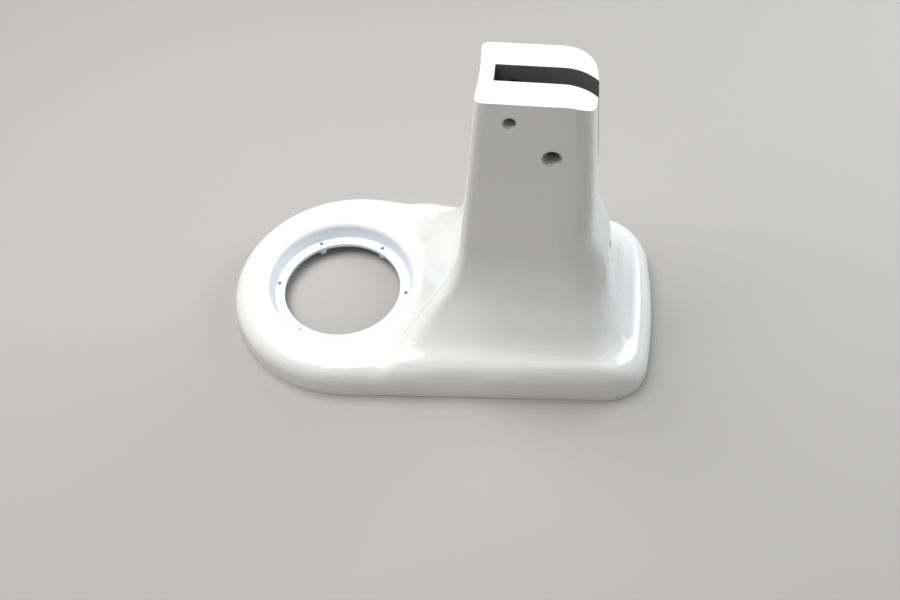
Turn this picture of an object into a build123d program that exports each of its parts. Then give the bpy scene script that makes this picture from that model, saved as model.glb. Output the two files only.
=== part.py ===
from build123d import *
import os
from math import atan2, cos, hypot, pi, radians, sin, sqrt, tan

# One-piece housing of a tilting-head stand mixer: a low base with a round bowl
# seat in front and a hollow column behind it that carries the head hinge.
# Millimetres. +X runs from the bowl end to the rear, +Z is up, and the origin
# is under the middle of the base, on the surface that it stands on.

# Base outline, seen from above
base_length = 341.0
front_radius = 96.0  # the bowl end is half round
side_taper = 4.1  # degrees, each side runs inwards to the rear
rear_corner = 34.0
rear_bow = 420.0  # radius of the slightly crowned rear edge

# Base section
plateau = 26.4  # height of the flat round the bowl
side_edge_front = 27.5  # height of the side edge where the flare begins
side_edge_rear = 33.0
rear_edge = 23.0
edge_over = 17.0  # how far the edge round reaches in over the top
edge_down = 15.0  # and down the wall
wall_draft = 1.0  # degrees
wall = 3.0

# Column, its faces measured at its top from the bowl axis
column_top = 247.3
column_front = 114.6
column_rear = 190.5
column_half = 30.1
front_draft = 4.5  # degrees
side_draft = 2.6
rear_draft = 4.2
face_hollow = 0.0020  # the front face is hollow: depth per width squared
front_corner = 5.5
back_corner = 25.0
roof_flat_end = 167.7  # from the bowl axis, where the roof starts to fall
roof_radius = 33.8
roof_edge = 1.6

# Flare from column to base: the knee above, the foot below
knee_front = 86.0
knee_side = 84.0
knee_rear = 92.0
knee_corner = 7.5
knee_round = 26.0
foot_front = 66.0  # from the bowl axis
foot_hip = 31.0  # height of the foot on the corner ridges
foot_half = 65.5
foot_side = 38.5
foot_back = 227.0
foot_rear = 37.0
foot_corner = 12.0
foot_back_corner = 32.0
foot_round_front = 7.0
foot_round = 17.0
ridge_start = 38.0  # from the bowl axis, where the ridges run out on the edge
ridge_end = 56.0

# Bowl seat
seat_lead = 8.1  # the bowl axis is this far in front of the round end's centre
seat_radius = 57.5
seat_rim = 6.0
rim_exit = 15.0  # degrees, the rim's round meets the flat at this angle
seat_floor = 12.3
seat_draft = 8.0
ledge = 3.0
opening_radius = 47.8
screw_circle = 53.0
screw_count = 6
screw_hole = 3.2
screw_boss = 7.5
screw_boss_depth = 6.0

# Hinge slot and pin bores
slot_width = 15.8
slot_front = 124.1  # from the bowl axis
slot_floor = 176.0
hinge_bore = 12.0
hinge_place = (164.6, 204.6)  # from the bowl axis, and height
lock_bore = 8.0
lock_place = (136.3, 231.8)
bore_wall = 3.0
bore_lip = 0.8

# Cord hole in the rear of the flare
cord_hole = 9.5
cord_height = 88.0

# Inside
rib = 2.0
rib_start = 7.0  # over the surface that the base stands on
rib_count = 7
rib_step = 30.0  # degrees round the bowl
base_boss = 9.0
base_pilot = 3.4
base_boss_start = 3.0  # the bosses stop this far up, for a base plate
base_boss_places = ((-48.0, 57.0), (62.0, 77.0), (217.0, 50.0))  # from the bowl axis
gusset = 12.0
gusset_places = (105.0, 150.0, 190.0)  # from the bowl axis

round_centre = front_radius - base_length / 2
bowl_x = round_centre - seat_lead
# How finely the skin's lines and rings are drawn
front_points, corner_points, side_points, back_points, rear_points = 8, 4, 8, 5, 3
round_steps = 24
outer_rings, inner_rings = 28, 20
column_rings = 8
spare_rings = 5  # below the base, cut away later
spare_step = 6.0
turning_worth = 25.0  # a full radian of turning counts for as much as this length
straight_worth = 40.0  # and a longer straight for no more than this


def mix(a, b, t):
    return a + (b - a) * t


def eased(t):
    return t * t * (3 - 2 * t)


def closing(i, n):
    """Steps that grow shorter towards the end."""
    return 1 - (1 - i / n) ** 1.4


def swelling(i, n):
    """Steps that are shorter at both ends."""
    return 0.55 * (0.5 - 0.5 * cos(pi * i / n)) + 0.45 * i / n


def box_ring(front_x, rear_x, half, corner, back):
    """Half of a rounded box with a hollow front face, from front centre to rear centre."""
    y = half - corner
    for _ in range(6):
        slope = 2 * face_hollow * y
        y = half - corner - corner * slope / sqrt(1 + slope * slope)
    away = (-1 / sqrt(1 + slope * slope), -slope / sqrt(1 + slope * slope))
    cx = front_x - face_hollow * y * y - corner * away[0]
    cy = y - corner * away[1]
    start = atan2(away[1], away[0]) + 2 * pi
    ring = []
    for i in range(front_points):
        step = y * closing(i, front_points)
        ring.append((front_x - face_hollow * step * step, step))
    for i in range(corner_points + 1):
        a = mix(start, pi / 2, i / corner_points)
        ring.append((cx + corner * cos(a), cy + corner * sin(a)))
    for i in range(1, side_points):
        ring.append((mix(cx, rear_x - back, swelling(i, side_points)), half))
    for i in range(back_points + 1):
        a = pi / 2 * (1 - i / back_points)
        ring.append((rear_x - back + back * cos(a), half - back + back * sin(a)))
    for i in range(1, rear_points + 1):
        ring.append((rear_x, (half - back) * (1 - i / rear_points)))
    return ring


def outline_ring():
    """Half of the base outline as (x, y, outward x, outward y), matched to box_ring."""
    turn = radians(side_taper)
    along, inward = (cos(turn), -sin(turn)), (-sin(turn), -cos(turn))
    tx, ty = round_centre + front_radius * sin(turn), front_radius * cos(turn)
    bow_x = base_length / 2 - rear_bow
    low, high = 0.0, base_length
    for _ in range(60):
        run = (low + high) / 2
        cx = tx + along[0] * run + inward[0] * rear_corner
        cy = ty + along[1] * run + inward[1] * rear_corner
        if hypot(cx - bow_x, cy) > rear_bow - rear_corner:
            high = run
        else:
            low = run
    bow = atan2(cy, cx - bow_x)
    side_angle = pi / 2 - turn
    round_length = front_radius * (pi / 2 + turn)
    corner_length = rear_corner * (side_angle - bow)

    def at(length):
        if length <= round_length:
            a = pi - length / front_radius
            return round_centre + front_radius * cos(a), front_radius * sin(a), cos(a), sin(a)
        length -= round_length
        if length <= run:
            return tx + along[0] * length, ty + along[1] * length, -inward[0], -inward[1]
        length -= run
        if length <= corner_length:
            a = side_angle - length / rear_corner
            return cx + rear_corner * cos(a), cy + rear_corner * sin(a), cos(a), sin(a)
        a = bow - (length - corner_length) / rear_bow
        return bow_x + rear_bow * cos(a), rear_bow * sin(a), cos(a), sin(a)

    first = round_length + (bowl_x + ridge_start - tx) / along[0]
    second = round_length + (bowl_x + ridge_end - tx) / along[0]
    third = round_length + run
    fourth = third + corner_length
    fifth = fourth + rear_bow * bow
    lengths = [first * closing(i, front_points) for i in range(front_points)]
    lengths += [mix(first, second, i / corner_points) for i in range(corner_points + 1)]
    lengths += [mix(second, third, swelling(i, side_points)) for i in range(1, side_points)]
    lengths += [mix(third, fourth, i / back_points) for i in range(back_points + 1)]
    lengths += [mix(fourth, fifth, i / rear_points) for i in range(1, rear_points + 1)]
    return [at(length) for length in lengths]


def round_the_ring(front, ridge, side_front, side_rear, rear):
    """One value for each point of a half ring, changing smoothly between its faces."""
    values = []
    for i in range(front_points):
        late = max(0.0, (closing(i, front_points) - 0.7) / 0.3)
        values.append(mix(front, ridge, eased(late)))
    values += [mix(ridge, side_front, eased(i / corner_points)) for i in range(corner_points + 1)]
    values += [mix(side_front, side_rear, swelling(i, side_points)) for i in range(1, side_points)]
    values += [mix(side_rear, rear, eased(i / back_points)) for i in range(back_points + 1)]
    return values + [rear] * rear_points


def column_face(place, draft, height, outward):
    return place + outward * tan(radians(draft)) * (column_top - height)


def control_rings():
    """The five corners that every line down the skin is drawn through."""
    above = column_top + 15
    rings = []
    front = bowl_x + column_face(column_front, front_draft, above, -1)
    rear = bowl_x + column_face(column_rear, rear_draft, above, 1)
    half = column_face(column_half, side_draft, above, 1)
    ring = box_ring(front, rear, half, front_corner, back_corner)
    rings.append([Vector(x, y, above) for x, y in ring])

    front = bowl_x + column_face(column_front, front_draft, knee_front, -1)
    rear = bowl_x + column_face(column_rear, rear_draft, knee_rear, 1)
    half = column_face(column_half, side_draft, knee_side, 1)
    ring = box_ring(front, rear, half, knee_corner, back_corner)
    middle = (knee_front + knee_side) / 2
    heights = round_the_ring(knee_front, middle, knee_side, knee_side, knee_rear)
    rings.append([Vector(x, y, z) for (x, y), z in zip(ring, heights)])

    ring = box_ring(bowl_x + foot_front, bowl_x + foot_back, foot_half, foot_corner, foot_back_corner)
    heights = round_the_ring(plateau, foot_hip, foot_side, foot_side, foot_rear)
    rings.append([Vector(x, y, z) for (x, y), z in zip(ring, heights)])

    ring = outline_ring()
    heights = round_the_ring(plateau, plateau, side_edge_front, side_edge_rear, rear_edge)
    lean = tan(radians(wall_draft))
    rings.append([Vector(x - u * lean * z, y - v * lean * z, z) for (x, y, u, v), z in zip(ring, heights)])
    rings.append([Vector(x, y, 0) for x, y, _, _ in ring])
    return rings


def rounded_corner(before, corner, after, reach_before, reach_after):
    """A conic that is close to a round between two legs."""
    a = corner + (before - corner).normalized() * reach_before
    b = corner + (after - corner).normalized() * reach_after
    cosine = -(a - corner).normalized().dot((b - corner).normalized())
    weight = sqrt((1 + max(-1.0, min(1.0, cosine))) / 2)
    points = []
    for i in range(round_steps + 1):
        t = i / round_steps
        w0, w1, w2 = (1 - t) ** 2, 2 * t * (1 - t) * weight, t * t
        points.append((a * w0 + corner * w1 + b * w2) / (w0 + w1 + w2))
    return points


def spread(points, count):
    """The same line in even steps of length and turning, so that rounds get more points."""
    marks = [0.0]
    for i in range(1, len(points)):
        leg = points[i] - points[i - 1]
        turn = 0.0
        if 1 < i:
            turn = radians((points[i - 1] - points[i - 2]).get_angle(leg))
        marks.append(marks[-1] + min(leg.length, straight_worth) + turning_worth * turn)
    spaced, k = [], 1
    for i in range(count + 1):
        mark = marks[-1] * i / count
        while k < len(marks) - 1 and marks[k] < mark:
            k += 1
        t = (mark - marks[k - 1]) / (marks[k] - marks[k - 1])
        spaced.append(points[k - 1] + (points[k] - points[k - 1]) * min(1.0, max(0.0, t)))
    return spaced


def skin_line(corners, foot_reach, count):
    """One line down the skin: column, knee, flare, foot, top of the base, edge, wall."""
    top, knee, foot, edge, bottom = corners
    upper = min(knee_round, 0.48 * (foot - knee).length)
    lower = min(foot_reach, 0.48 * (foot - knee).length, 0.48 * (edge - foot).length)
    over = min(edge_over, 0.48 * (edge - foot).length)
    down = min(edge_down, 0.9 * (bottom - edge).length)
    bent = rounded_corner(top, knee, foot, upper, upper)
    bent += rounded_corner(knee, foot, edge, lower, lower)
    bent += rounded_corner(foot, edge, bottom, over, down) + [bottom]
    low = spread(bent, count)
    rise = top - low[0]
    share = (low[1] - low[0]).length / rise.length
    high = []
    for i in range(column_rings, 0, -1):
        t = (i - 1) / (column_rings - 1)
        high.append(low[0] + rise * mix(share * i, 1, t * t))
    drop = low[-1] - low[-2]
    drop = drop * (spare_step / -drop.Z)
    return high + low + [low[-1] + drop * i for i in range(1, spare_rings + 1)]


def skin_lines(count):
    rings = control_rings()
    reaches = round_the_ring(foot_round_front, foot_round, foot_round, foot_round, foot_round)
    return [skin_line(corners, reach, count) for corners, reach in zip(zip(*rings), reaches)]


def full_ring(half_ring):
    mirrored = [Vector(p.X, -p.Y, p.Z) for p in half_ring[1:-1]]
    return half_ring + mirrored[::-1]


def ring_parameters(rings):
    """The share of the way round at each point, averaged over all rings."""
    count = len(rings[0])
    steps = [0.0] * count
    for ring in rings:
        gaps = [(ring[(i + 1) % count] - ring[i]).length for i in range(count)]
        for i in range(count):
            steps[i] += gaps[i] / sum(gaps) / len(rings)
    marks = [0.0]
    for step in steps:
        marks.append(marks[-1] + step)
    marks[-1] = 1.0
    return marks


def loft_rings(lines):
    rings = [full_ring(list(ring)) for ring in zip(*lines)]
    marks = ring_parameters(rings)
    wires = [Wire([Edge.make_spline(ring + [ring[0]], parameters=marks)]) for ring in rings]
    return Solid.make_loft(wires)


def inset_lines(lines, depth):
    """The same lines moved inwards by depth along the skin's own normal."""
    moved = []
    last = len(lines) - 1
    for i, line in enumerate(lines):
        before = lines[i - 1] if i else [Vector(p.X, -p.Y, p.Z) for p in lines[1]]
        after = lines[i + 1] if i < last else [Vector(p.X, -p.Y, p.Z) for p in lines[last - 1]]
        new = []
        for j, p in enumerate(line):
            up, low = line[max(j - 1, 0)], line[min(j + 1, len(line) - 1)]
            normal = (low - up).cross(after[j] - before[j]).normalized()
            q = p + normal * depth
            if j == 0 or j == len(line) - 1:
                q = Vector(q.X, q.Y, p.Z)
            new.append(q)
        moved.append(new)
    return moved


def roof_cutter(drop):
    """Everything above the roof, lowered by drop."""
    high, ahead, behind = column_top + 40, bowl_x + column_front - 40, bowl_x + column_rear + 60
    start = bowl_x + roof_flat_end
    radius = roof_radius - drop
    level = column_top - drop
    with BuildPart() as cutter:
        with BuildSketch(Plane.XZ.offset(-100)):
            with BuildLine():
                Polyline((ahead, level), (start, level))
                CenterArc((start, level - radius), radius, 0, 90)
                Polyline((start + radius, level - radius), (behind, level - radius), (behind, high),
                         (ahead, high), (ahead, level))
            make_face()
        extrude(amount=200)
    return cutter.part




def below(level):
    return Pos(0, 0, level - 50) * Box(2 * base_length, base_length, 100)


def cylinder_along_y(place, radius, length, y=0.0):
    return Pos(bowl_x + place[0], y, place[1]) * Rot(90, 0, 0) * Cylinder(radius, length)


def upright(x, y, radius, low, high):
    return Pos(x, y, (low + high) / 2) * Cylinder(radius, high - low)


def both_sides(shape):
    return shape + mirror(shape, Plane.XZ)


def slot_block(grow):
    """The hinge slot, open at the roof and the rear, grown by a wall where one is wanted."""
    front = bowl_x + slot_front - grow
    back = bowl_x + column_rear + 40
    low = slot_floor - grow
    high = column_top + 10
    return Pos((front + back) / 2, 0, (low + high) / 2) * Box(back - front, slot_width + 2 * grow, high - low)


def seat_cut():
    """The bowl seat: opening, ledge, drafted wall and rounded rim."""
    lean, leave = radians(seat_draft), radians(rim_exit)
    centre = (seat_radius + seat_rim * cos(lean), plateau - seat_rim * cos(leave))
    foot = (seat_radius, centre[1] + seat_rim * sin(lean))
    middle = (lean + pi / 2) / 2
    crown = (centre[0] - seat_rim * cos(middle), centre[1] + seat_rim * sin(middle))
    top = (centre[0], centre[1] + seat_rim)
    floor = (seat_radius - (foot[1] - seat_floor) * tan(lean), seat_floor)
    above = plateau + 20
    with BuildPart() as cutter:
        with BuildSketch(Plane.XZ):
            with BuildLine():
                Polyline((0, above), (0, seat_floor), floor, foot)
                ThreePointArc(foot, crown, top)
                Polyline(top, (top[0], above), (0, above))
            make_face()
        revolve(axis=Axis.Z)
    return Pos(bowl_x, 0, 0) * cutter.part + upright(bowl_x, 0, opening_radius, -1, plateau)


def around_seat(shape):
    """Copies of a shape at the bowl seat's screw places."""
    places = [Rot(0, 0, 360 * i / screw_count) * Pos(screw_circle, 0, 0) for i in range(screw_count)]
    return Compound(children=[Pos(bowl_x, 0, 0) * place * shape for place in places])


def pin_bore(place, bore):
    """A cross bore for a pin, with a small lip at both mouths."""
    half = column_face(column_half, side_draft, place[1], 1)
    hole = cylinder_along_y(place, bore / 2, 4 * column_half)
    lip = Cone(bore / 2 + 2 * bore_lip, bore / 2 - bore_lip, 3 * bore_lip)
    mouth = Pos(bowl_x + place[0], -half, place[1]) * Rot(90 + side_draft, 0, 0) * lip
    return hole + both_sides(mouth)


def underside():
    """What stands inside the hollow: seat cup, screw bosses, ribs and gussets."""
    high = plateau + 40
    cup = upright(bowl_x, 0, seat_radius + wall, seat_floor - ledge, high)
    bosses = around_seat(upright(0, 0, screw_boss / 2, seat_floor - ledge - screw_boss_depth, seat_floor))
    ribs, reach = [], front_radius - seat_radius
    for i in range(rib_count):
        angle = 180 + rib_step * (i - (rib_count - 1) / 2)
        plate = Pos(seat_radius + reach / 2, 0, (rib_start + high) / 2) * Box(reach, rib, high - rib_start)
        ribs.append(Pos(bowl_x, 0, 0) * Rot(0, 0, angle) * plate)
    posts = [upright(bowl_x + x, y, base_boss / 2, base_boss_start, high + 40) for x, y in base_boss_places]
    for x in gusset_places:
        edge = front_radius - (x - seat_lead) * tan(radians(side_taper))
        posts.append(Pos(bowl_x + x, edge - gusset / 2 - wall / 2, rib_start + 10) * Box(rib, gusset, 20))
    return [cup, *bosses.solids(), *ribs, *[both_sides(post) for post in posts]]


outer = loft_rings(skin_lines(outer_rings)) - roof_cutter(0) - below(0)
outer -= seat_cut()
outer -= slot_block(0)

hollow = loft_rings(inset_lines(skin_lines(inner_rings), wall)) - roof_cutter(wall) - below(-1)
for place, bore in ((hinge_place, hinge_bore), (lock_place, lock_bore)):
    hollow -= cylinder_along_y(place, bore / 2 + bore_wall, 4 * column_half)
hollow -= slot_block(wall)
hollow -= underside()

housing = outer - hollow
housing -= around_seat(upright(0, 0, screw_hole / 2, -1, plateau)).solids()
housing -= pin_bore(hinge_place, hinge_bore)
housing -= pin_bore(lock_place, lock_bore)
housing -= Pos(bowl_x + foot_back - 15, 0, cord_height) * Rot(0, 90, 0) * Cylinder(cord_hole / 2, 60)
pilots = [upright(bowl_x + x, y, base_pilot / 2, -1, plateau - 8) for x, y in base_boss_places]
housing -= [both_sides(pilot) for pilot in pilots]

os.makedirs("parts", exist_ok=True)
export_step(housing, "parts/mixer_base_housing.step")
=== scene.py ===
import math
import bmesh
import bpy
import numpy as np
from mathutils import Matrix, Vector


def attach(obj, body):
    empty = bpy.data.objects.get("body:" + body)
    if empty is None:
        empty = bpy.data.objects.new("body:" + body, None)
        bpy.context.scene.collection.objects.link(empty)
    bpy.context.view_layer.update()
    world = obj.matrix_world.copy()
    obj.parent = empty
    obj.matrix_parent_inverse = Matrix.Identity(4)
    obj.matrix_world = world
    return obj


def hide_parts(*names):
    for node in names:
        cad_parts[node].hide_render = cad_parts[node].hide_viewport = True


# The moulded housing of a tilt-head stand mixer. Everything is in metres, in the frame of the CAD part:
# +X towards the rear, +Z up, origin under the middle of the base.
mm = 0.001
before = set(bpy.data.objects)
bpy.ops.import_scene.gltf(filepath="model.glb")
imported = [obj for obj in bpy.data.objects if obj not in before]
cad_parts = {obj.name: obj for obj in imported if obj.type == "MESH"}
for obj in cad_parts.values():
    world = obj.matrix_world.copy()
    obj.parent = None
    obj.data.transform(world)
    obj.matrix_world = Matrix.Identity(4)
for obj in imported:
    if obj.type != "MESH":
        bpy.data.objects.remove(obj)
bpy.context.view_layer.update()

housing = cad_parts["mixer_base_housing"]
seat = {"x": -82.6 * mm, "rim": 62.4 * mm, "top": 26.4 * mm}  # its middle, and its edge's radius and height
slot = {"half": 7.9 * mm, "front": 41.5 * mm, "floor": 176.0 * mm}
bores = {  # along Y, each with its X, its height and its radius
    "hinge": (82.0 * mm, 204.6 * mm, 6.0 * mm),
    "lock": (53.7 * mm, 231.8 * mm, 4.0 * mm),
}


class Value:
    # a socket of a material, with ordinary arithmetic
    def __init__(self, shader, source):
        self.shader = shader
        self.source = source

    def math(self, operation, *others):
        return self.shader.add("ShaderNodeMath", [self, *others], operation=operation)

    def __add__(self, other):
        return self.math("ADD", other)

    def __mul__(self, other):
        return self.math("MULTIPLY", other)

    def __sub__(self, other):
        return self.math("SUBTRACT", other)

    def __rsub__(self, other):
        return self.shader.add("ShaderNodeMath", [other, self], operation="SUBTRACT")

    __radd__ = __add__
    __rmul__ = __mul__

    def squared(self):
        return self * self

    def root(self):
        return self.math("SQRT")

    def unsigned(self):
        return self.math("ABSOLUTE")

    def orMore(self, other):
        # the larger of the two
        return self.math("MAXIMUM", other)

    def ramp(self, low, high):
        # 0 at low, 1 at high, smooth in between; low may be the larger of the two
        return self.shader.add(
            "ShaderNodeMapRange",
            {"Value": self, "From Min": low, "From Max": high},
            interpolation_type="SMOOTHSTEP",
        )


class Shader:
    def __init__(self, name):
        self.material = bpy.data.materials.new(name)
        self.material.use_nodes = True
        self.tree = self.material.node_tree
        self.tree.nodes.clear()

    def add(self, kind, inputs=(), output=0, **settings):
        # one node: its settings first, then a link or a number for each socket named or counted in inputs
        node = self.tree.nodes.new(kind)
        for key, setting in settings.items():
            setattr(node, key, setting)
        pairs = inputs.items() if isinstance(inputs, dict) else enumerate(inputs)
        for key, value in pairs:
            if isinstance(value, Value):
                self.tree.links.new(value.source, node.inputs[key])
            else:
                node.inputs[key].default_value = value
        return Value(self, node.outputs[output]) if len(node.outputs) else None

    def place(self):
        # the point in the object's own metres, and its three parts
        point = self.add("ShaderNodeTexCoord", output="Object")
        parts = self.add("ShaderNodeSeparateXYZ", [point]).source.node.outputs
        return point, [Value(self, part) for part in parts]

    def noise(self, point, size, detail, roughness):
        # a soft noise from 0 to 1 whose blobs are about this size in metres
        return self.add(
            "ShaderNodeTexNoise",
            {"Vector": point, "Scale": 1 / size, "Detail": detail, "Roughness": roughness},
            output="Fac",
        )

    def mix(self, share, first, second):
        # first + share * (second - first), on numbers
        return self.add("ShaderNodeMix", {"Factor": share, "A": first, "B": second}, data_type="FLOAT")

    def blend(self, share, first, second):
        # the same on colours, whose sockets are told apart only by their place
        return self.add("ShaderNodeMix", {0: share, 6: first, 7: second}, output=2, data_type="RGBA")

    def bump(self, height, distance, strength, normal=None):
        inputs = {"Height": height, "Distance": distance, "Strength": strength}
        if normal is not None:
            inputs["Normal"] = normal
        return self.add("ShaderNodeBump", inputs, output="Normal")

    def finish(self, surface):
        self.add("ShaderNodeOutputMaterial", {"Surface": surface})
        return self.material


# what the finished skin does better than the plain solid
skin = {
    "weld": 0.004 * mm,
    "sliver": 0.02 * mm,
    "crease": 32,  # degrees, past which an edge stays sharp
    "rearFill": 7.5 * mm,  # how much the rear of the column swells into its flare
    "rearHeights": (52 * mm, 92 * mm, 100 * mm, 132 * mm),  # where it starts, is full, turns back and ends
    "rearDepth": (62 * mm, 104 * mm),
    "rearHalf": (26 * mm, 62 * mm),
    "corner": 23.5 * mm,  # radius of the column's rear corners in the solid
    "cornerAt": (200 * mm, 111.3 * mm, 32.2 * mm),  # a height, with the rear and the half width there
    "cornerDraft": (0.0767, 0.0447),  # how much both grow for each metre down
    "cornerHeights": (70 * mm, 170 * mm),
    "cornerEnd": 0.995,  # share of the arc past which it is squared no more
    "besideSlot": 1 * mm,  # nothing nearer to the slot's walls than this is moved
    "hip": (22 * mm, 66 * mm, 34 * mm),  # middle of each waist beside the seat
    "hipReach": (17.6 * mm, 44 * mm),  # evened out in full within the first, not at all past the second
    "hipPasses": 90,
    "hipStep": 0.5,
    "bottomKept": (6 * mm, 14 * mm),
}


def smoothStep(value, low, high):
    # 0 below low, 1 above high, with a smooth S between them
    share = np.clip((value - low) / (high - low), 0, 1)
    return share * share * (3 - 2 * share)


def mergedCopy(source):
    # the solid's loose triangles joined at their corners, in a mesh of its own
    mesh = source.data.copy()
    work = bmesh.new()
    work.from_mesh(mesh)
    bmesh.ops.remove_doubles(work, verts=work.verts, dist=skin["weld"])
    bmesh.ops.dissolve_degenerate(work, dist=skin["sliver"], edges=work.edges)
    bmesh.ops.recalc_face_normals(work, faces=work.faces)
    work.to_mesh(mesh)
    work.free()
    kept = mesh.attributes.get("custom_normal")  # the loose triangles' own normals no longer fit
    if kept:
        mesh.attributes.remove(kept)
    return mesh


def fillRear(points):
    # x + fill * rise(z) * middle(y) * depth(x): the rear wall leans out sooner on its way down
    x, y, z = points.T
    low, full, turn, high = skin["rearHeights"]
    rise = smoothStep(z, low, full) * (1 - smoothStep(z, turn, high))
    middle = 1 - smoothStep(np.abs(y), *skin["rearHalf"])
    moved = points.copy()
    moved[:, 0] += skin["rearFill"] * rise * middle * smoothStep(x, *skin["rearDepth"])
    return moved


def squareRear(points):
    # beside each rear corner the wall moves out from the arc (1 - t^2)^(1/2) to the squarer (1 - t^4)^(1/4)
    x, y, z = points.T
    radius = skin["corner"]
    level, rear, half = skin["cornerAt"]
    draftRear, draftHalf = skin["cornerDraft"]
    share = np.clip((x - rear - (level - z) * draftRear) / radius + 1, 0, skin["cornerEnd"])
    inner = np.maximum(half + (level - z) * draftHalf - radius, slot["half"] + skin["besideSlot"])
    past = np.maximum(np.abs(y) - inner, 0)
    squarer = ((1 + share**2) / (1 - share**2)) ** 0.25 - 1
    moved = points.copy()
    moved[:, 1] += np.sign(y) * past * squarer * smoothStep(z, *skin["cornerHeights"])
    return moved


def evenHips(points, pairs):
    # each point moves towards the mean of its neighbours, many times over, within reach of either hip
    oneSide = np.stack((points[:, 0], np.abs(points[:, 1]), points[:, 2]), 1)
    away = np.linalg.norm(oneSide - skin["hip"], axis=1)
    share = skin["hipStep"] * (1 - smoothStep(away, *skin["hipReach"]))
    share *= smoothStep(points[:, 2], *skin["bottomKept"])
    start, end = np.concatenate((pairs, pairs[:, ::-1])).T
    count = np.bincount(start, minlength=len(points))
    for turn in range(skin["hipPasses"]):
        mean = [np.bincount(start, points[end, k], minlength=len(points)) / count for k in range(3)]
        points = points + share[:, None] * (np.stack(mean, 1) - points)
    return points


def makeSkin():
    mesh = mergedCopy(housing)
    points = np.empty(len(mesh.vertices) * 3)
    mesh.vertices.foreach_get("co", points)
    pairs = np.empty(len(mesh.edges) * 2, dtype=np.int64)
    mesh.edges.foreach_get("vertices", pairs)
    points = evenHips(points.reshape(-1, 3), pairs.reshape(-1, 2))
    points = fillRear(squareRear(points))
    mesh.vertices.foreach_set("co", points.ravel())
    mesh.shade_smooth()
    mesh.set_sharp_from_angle(angle=math.radians(skin["crease"]))
    mesh.update()
    piece = bpy.data.objects.new("housing_skin", mesh)
    bpy.context.collection.objects.link(piece)
    fair = piece.modifiers.new("fair normals", "WEIGHTED_NORMAL")  # slivers beside the bores count for little
    fair.mode = "FACE_AREA"
    fair.weight = 100
    fair.keep_sharp = True
    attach(piece, "root")
    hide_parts("mixer_base_housing")
    return piece


housingSkin = makeSkin()
print("skin finished", len(housingSkin.data.polygons), "faces")

plastic = {
    "tone": (0.86, 0.86, 0.855, 1.0),
    "warm": (0.84, 0.835, 0.815, 1.0),
    "gloss": 0.16,
    # each noise has its size, detail and roughness
    "clouds": {"noise": (60 * mm, 3.0, 0.5), "range": (0.35, 0.7), "share": 0.5},  # of the warm tone
    "handling": {"noise": (11 * mm, 4.0, 0.6), "range": (0.42, 0.72), "rise": 0.05},  # where hands dulled it
    "sink": {"noise": (38 * mm, 1.0, 0.5), "deep": 0.35 * mm, "strength": 0.5},  # long waves from shrinkage
    "peel": {"noise": (1.6 * mm, 2.0, 0.6), "deep": 0.012 * mm, "strength": 0.35},  # of a polished mould
    "coat": 0.25,
    "coatRough": 0.12,
    "ior": 1.52,
    "edgeRound": 1.3 * mm,
    "edgeSamples": 8,
}
seatFinish = {
    "tone": (0.80, 0.83, 0.88, 1.0),
    "rough": 0.42,
    "edge": (1 * mm, -5 * mm),  # past the rim, where it starts and where it is full
    "below": 4 * mm,  # under the rim's height, where it is full
}
# dark on the slot's walls, a bare inner tone that also stands for the slot's shade, and painted shade that
# deepens along the bores
bareAndShadeFinish = {
    "tone": (0.18, 0.182, 0.178, 1.0),
    "rough": 0.6,
    "slotSide": (0.25 * mm, 0.15 * mm),  # these fade it in, from the slot's side, front and floor
    "slotFront": (-0.3 * mm, -0.1 * mm),
    "slotFloor": 2 * mm,
    "boreSide": (0.15 * mm, 0.05 * mm),
    "boreShadeDeep": (29 * mm, 18 * mm),  # and this fades the painted shade in along the bore, white at its mouth and dark deeper in
}


def seatMask(x, y, z):
    # 1 within the rim of the bowl seat and below it
    away = ((x - seat["x"]).squared() + y.squared()).root()
    start, full = (seat["rim"] + step for step in seatFinish["edge"])
    return away.ramp(start, full) * z.ramp(seat["top"], seat["top"] - seatFinish["below"])


def bareAndShadeMask(x, y, z):
    # 1 on the walls of the slot, a bare tone that also stands for their shade, and rising with depth on those
    # of the two bores, as painted shade
    side = y.unsigned()
    mask = side.ramp(*(slot["half"] + step for step in bareAndShadeFinish["slotSide"]))
    mask = mask * x.ramp(*(slot["front"] + step for step in bareAndShadeFinish["slotFront"]))
    mask = mask * z.ramp(slot["floor"] - bareAndShadeFinish["slotFloor"], slot["floor"])
    for across, height, radius in bores.values():
        off = ((x - across).squared() + (z - height).squared()).root()
        inBore = off.ramp(*(radius + step for step in bareAndShadeFinish["boreSide"]))
        mask = mask.orMore(inBore * side.ramp(*bareAndShadeFinish["boreShadeDeep"]))
    return mask


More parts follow.
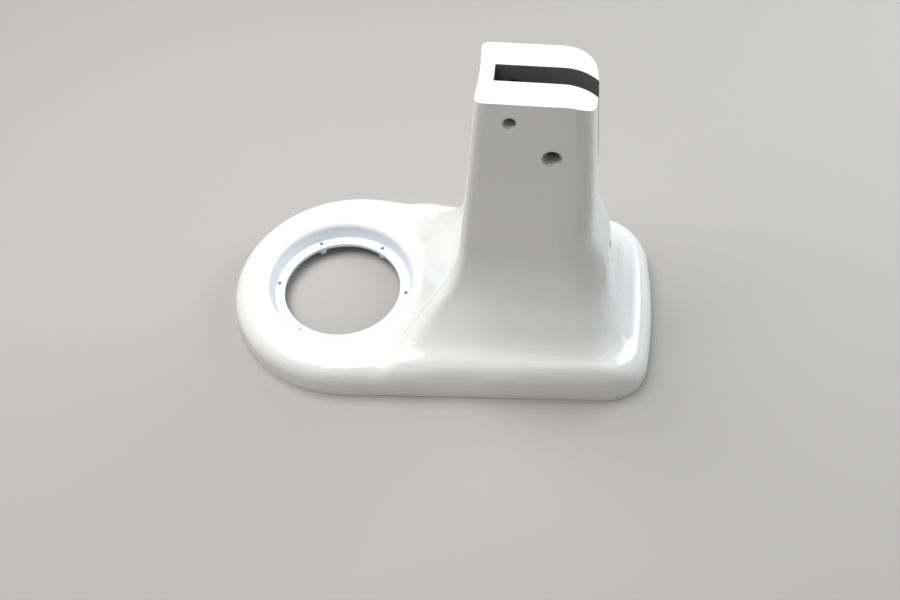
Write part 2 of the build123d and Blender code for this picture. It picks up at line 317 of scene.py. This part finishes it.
def glossPlastic():
    shade = Shader("moulded white plastic")
    point, (x, y, z) = shade.place()
    inSeat = seatMask(x, y, z)
    bareAndShade = bareAndShadeMask(x, y, z)

    # edges rounded over, then the waves, then the peel
    normal = shade.add("ShaderNodeBevel", {"Radius": plastic["edgeRound"]}, samples=plastic["edgeSamples"])
    for relief in (plastic["sink"], plastic["peel"]):
        height = shade.noise(point, *relief["noise"])
        normal = shade.bump(height, relief["deep"], relief["strength"], normal)

    handling = plastic["handling"]
    dulled = shade.noise(point, *handling["noise"]).ramp(*handling["range"])
    rough = dulled * handling["rise"] + plastic["gloss"]
    rough = shade.mix(inSeat, rough, seatFinish["rough"])
    rough = shade.mix(bareAndShade, rough, bareAndShadeFinish["rough"])

    clouds = plastic["clouds"]
    warmth = shade.noise(point, *clouds["noise"]).ramp(*clouds["range"]) * clouds["share"]
    colour = shade.blend(warmth, plastic["tone"], plastic["warm"])
    colour = shade.blend(inSeat, colour, seatFinish["tone"])
    # darkened on the slot's walls and deeper in the bores: a bare tone and painted shade
    colour = shade.blend(bareAndShade, colour, bareAndShadeFinish["tone"])
    surface = shade.add(
        "ShaderNodeBsdfPrincipled",
        {
            "Base Color": colour,
            "Roughness": rough,
            "IOR": plastic["ior"],
            "Normal": normal,
            "Coat Weight": plastic["coat"],
            "Coat Roughness": plastic["coatRough"],
        },
    )
    return shade.finish(surface)


whiteSkin = glossPlastic()
for piece in (housing, housingSkin):
    piece.data.materials.clear()
    piece.data.materials.append(whiteSkin)

# a plain pale table top
ground = {
    "size": 6.0,
    "tone": (0.42, 0.413, 0.40, 1.0),
    "rough": 0.75,
    "grain": {"noise": (2 * mm, 2.0, 0.5), "deep": 0.05 * mm, "strength": 0.2},
}


def makeFloor():
    bpy.ops.mesh.primitive_plane_add(size=ground["size"], location=(0, 0, 0))
    floor = bpy.context.object
    floor.name = "floor"
    shade = Shader("floor")
    point, parts = shade.place()
    grain = ground["grain"]
    normal = shade.bump(shade.noise(point, *grain["noise"]), grain["deep"], grain["strength"])
    surface = shade.add(
        "ShaderNodeBsdfPrincipled",
        {"Base Color": ground["tone"], "Roughness": ground["rough"], "Normal": normal},
    )
    floor.data.materials.append(shade.finish(surface))


makeFloor()

view = {
    "place": (83.4 * mm, -518.3 * mm, 679.2 * mm),
    "yaw": -8.413,  # degrees, from +Y towards +X
    "pitch": 52.078,  # below the horizon
    "roll": -2.365,
    "focalPixels": 1035.4,
    "width": 900,  # pixels across the frame
    "sensor": 36,  # millimetres, as Blender counts it
    "nearest": 0.01,
}


def makeCamera():
    yaw, pitch, roll = (math.radians(view[key]) for key in ("yaw", "pitch", "roll"))
    ahead = Vector((math.sin(yaw) * math.cos(pitch), math.cos(yaw) * math.cos(pitch), -math.sin(pitch)))
    level = Vector((math.cos(yaw), -math.sin(yaw), 0))
    upright = level.cross(ahead)
    right = level * math.cos(roll) + upright * math.sin(roll)
    up = upright * math.cos(roll) - level * math.sin(roll)
    data = bpy.data.cameras.new("camera")
    data.sensor_width = view["sensor"]
    data.lens = view["sensor"] * view["focalPixels"] / view["width"]
    data.clip_start = view["nearest"]
    camera = bpy.data.objects.new("camera", data)
    bpy.context.collection.objects.link(camera)
    turn = Matrix((right, up, -ahead)).transposed()
    camera.matrix_world = Matrix.Translation(view["place"]) @ turn.to_4x4()
    bpy.context.scene.camera = camera


makeCamera()

# a large soft box over the seat, a cool one behind the column, a weak warm one in front, and a pale room
lights = [
    {
        "name": "overhead",
        "place": (-0.45, 0.12, 1.3),
        "size": (1.2, 0.9),
        "power": 21.5,
        "tone": (1.0, 0.995, 0.985),
    },
    {
        "name": "rear",
        "place": (0.9, 0.55, 0.65),
        "size": (0.7, 0.7),
        "power": 7.5,
        "tone": (0.93, 0.96, 1.0),
    },
    {
        "name": "near",
        "place": (0.25, -1.1, 0.5),
        "size": (0.9, 0.6),
        "power": 0.42,
        "tone": (1.0, 0.93, 0.80),
    },
]
room = {"tone": (0.96, 0.98, 1.0, 1.0), "strength": 0.225, "aim": (0.03, 0, 0.08), "display": "Standard"}


def makeLights():
    aim = Vector(room["aim"])
    for light in lights:
        data = bpy.data.lights.new(light["name"], "AREA")
        data.shape = "RECTANGLE"
        data.size, data.size_y = light["size"]
        data.energy = light["power"]
        data.color = light["tone"]
        lamp = bpy.data.objects.new(light["name"], data)
        bpy.context.collection.objects.link(lamp)
        lamp.location = light["place"]
        lamp.rotation_euler = (aim - Vector(light["place"])).to_track_quat("-Z", "Y").to_euler()
    world = bpy.data.worlds.new("room")
    world.use_nodes = True
    back = world.node_tree.nodes["Background"]
    back.inputs["Color"].default_value = room["tone"]
    back.inputs["Strength"].default_value = room["strength"]
    bpy.context.scene.world = world
    bpy.context.scene.view_settings.view_transform = room["display"]


makeLights()
print("stage, camera and lights set")
